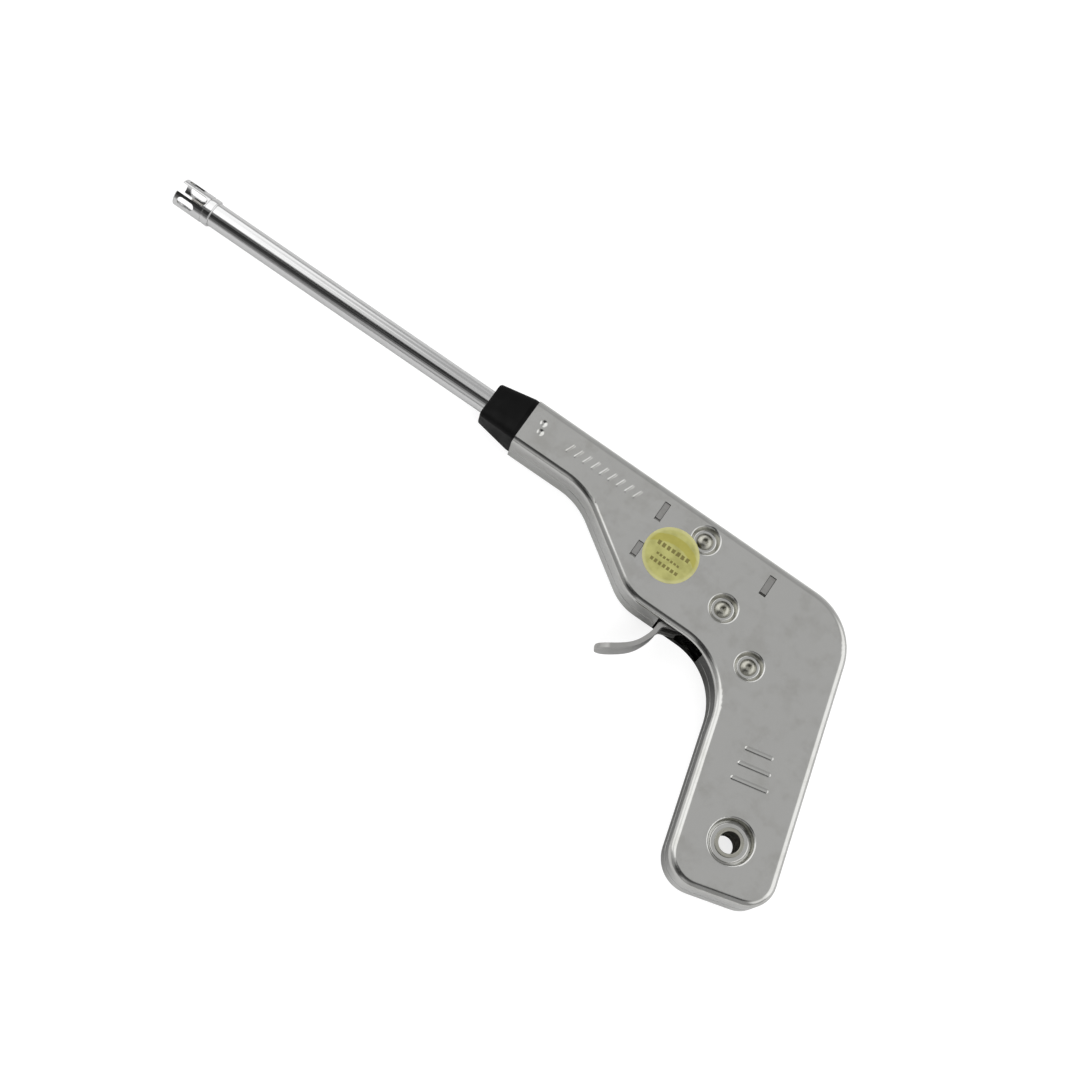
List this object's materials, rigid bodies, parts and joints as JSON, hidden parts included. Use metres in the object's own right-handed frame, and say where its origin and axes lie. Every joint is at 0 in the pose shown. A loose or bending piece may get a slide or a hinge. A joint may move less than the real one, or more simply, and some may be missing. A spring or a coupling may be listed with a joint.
{
  "type": "piezo gas lighter",
  "caption": "Pistol-shaped hand lighter for gas: a squeezed trigger cocks a sprung hammer that strikes a piezo stack, and the spark jumps at the end of a slim barrel.",
  "frame": {"origin": "on the table, under the centre of the overall box, with the lighter lying on its right side", "axes": "+X toward the back of the grip (the muzzle points to -X), +Y from the grip toward the barrel, +Z out of the left face"},
  "size_m": [0.2886, 0.104, 0.0181],
  "materials": {
    "plated_steel": "bright plated, finely brushed",
    "chrome_tube": "polished",
    "collar_plastic": "satin",
    "ceramic": "glazed",
    "electrode": "drawn wire",
    "sleeve": "extruded",
    "housing": "moulded",
    "brass": "bright",
    "crystal": "fired ceramic",
    "dark_steel": "hardened, dark",
    "plate_steel": "rolled",
    "rivet_steel": "bright plated",
    "bush": "turned",
    "trigger_steel": "satin plated",
    "spring_steel": "music wire",
    "foil": "printed foil"
  },
  "bodies": {
    "frame": {"left_shell": "plated_steel", "right_shell": "plated_steel", "barrel_tube": "chrome_tube", "spark_guard": "chrome_tube", "nose_collar": "collar_plastic", "tip_insulator": "ceramic", "centre_electrode": "electrode", "insulating_sleeve": "sleeve", "piezo_housing": "housing", "insulator_plug": "housing", "hv_terminal": "brass", "hv_lead": "brass", "contact_disc": "brass", "earth_strip": "brass", "front_crystal": "crystal", "rear_crystal": "crystal", "front_plug": "dark_steel", "impact_pad": "dark_steel", "anvil_plate": "plate_steel", "spring_seat_plate": "plate_steel", "washer_right": "plate_steel", "washer_left": "plate_steel", "guide_rivet": "rivet_steel", "pivot_rivet": "rivet_steel", "rear_rivet": "rivet_steel", "hang_eyelet": "rivet_steel", "guide_bush_right": "bush", "guide_bush_left": "bush", "pivot_bush": "bush", "rear_spacer": "bush", "hammer_spring": "spring_steel", "return_spring": "spring_steel", "foil_label": "foil"},
    "trigger": {"trigger_lever": "trigger_steel", "pawl_pin": "rivet_steel", "spring_post": "rivet_steel", "pawl_spring": "spring_steel"},
    "hammer": {"hammer": "dark_steel"},
    "pawl": {"cocking_pawl": "dark_steel"}
  },
  "joints": [
    {"name": "trigger_hinge", "type": "hinge", "parent": "frame", "child": "trigger", "pos_m": [0.08191, 0.02845, 0.009], "axis": [0, 0, 1], "range_deg": [0, 36], "stiffness_Nm_per_rad": 0.5, "springref_deg": -20.05, "deforming": ["return_spring"]},
    {"name": "hammer_slide", "type": "slide", "parent": "frame", "child": "hammer", "axis": [1, 0, 0], "range_m": [0, 0.0075], "deforming": ["hammer_spring"]},
    {"name": "pawl_hinge", "type": "hinge", "parent": "trigger", "child": "pawl", "pos_m": [0.06691, 0.02045, 0.009], "axis": [0, 0, 1], "range_deg": [-30, 0], "stiffness_Nm_per_rad": 0.004, "springref_deg": 17.19, "deforming": ["pawl_spring"]}
  ],
  "couplings": [
    {"joint": "hammer_slide", "follows": "trigger_hinge", "m_per_rad": 0.011393}
  ]
}
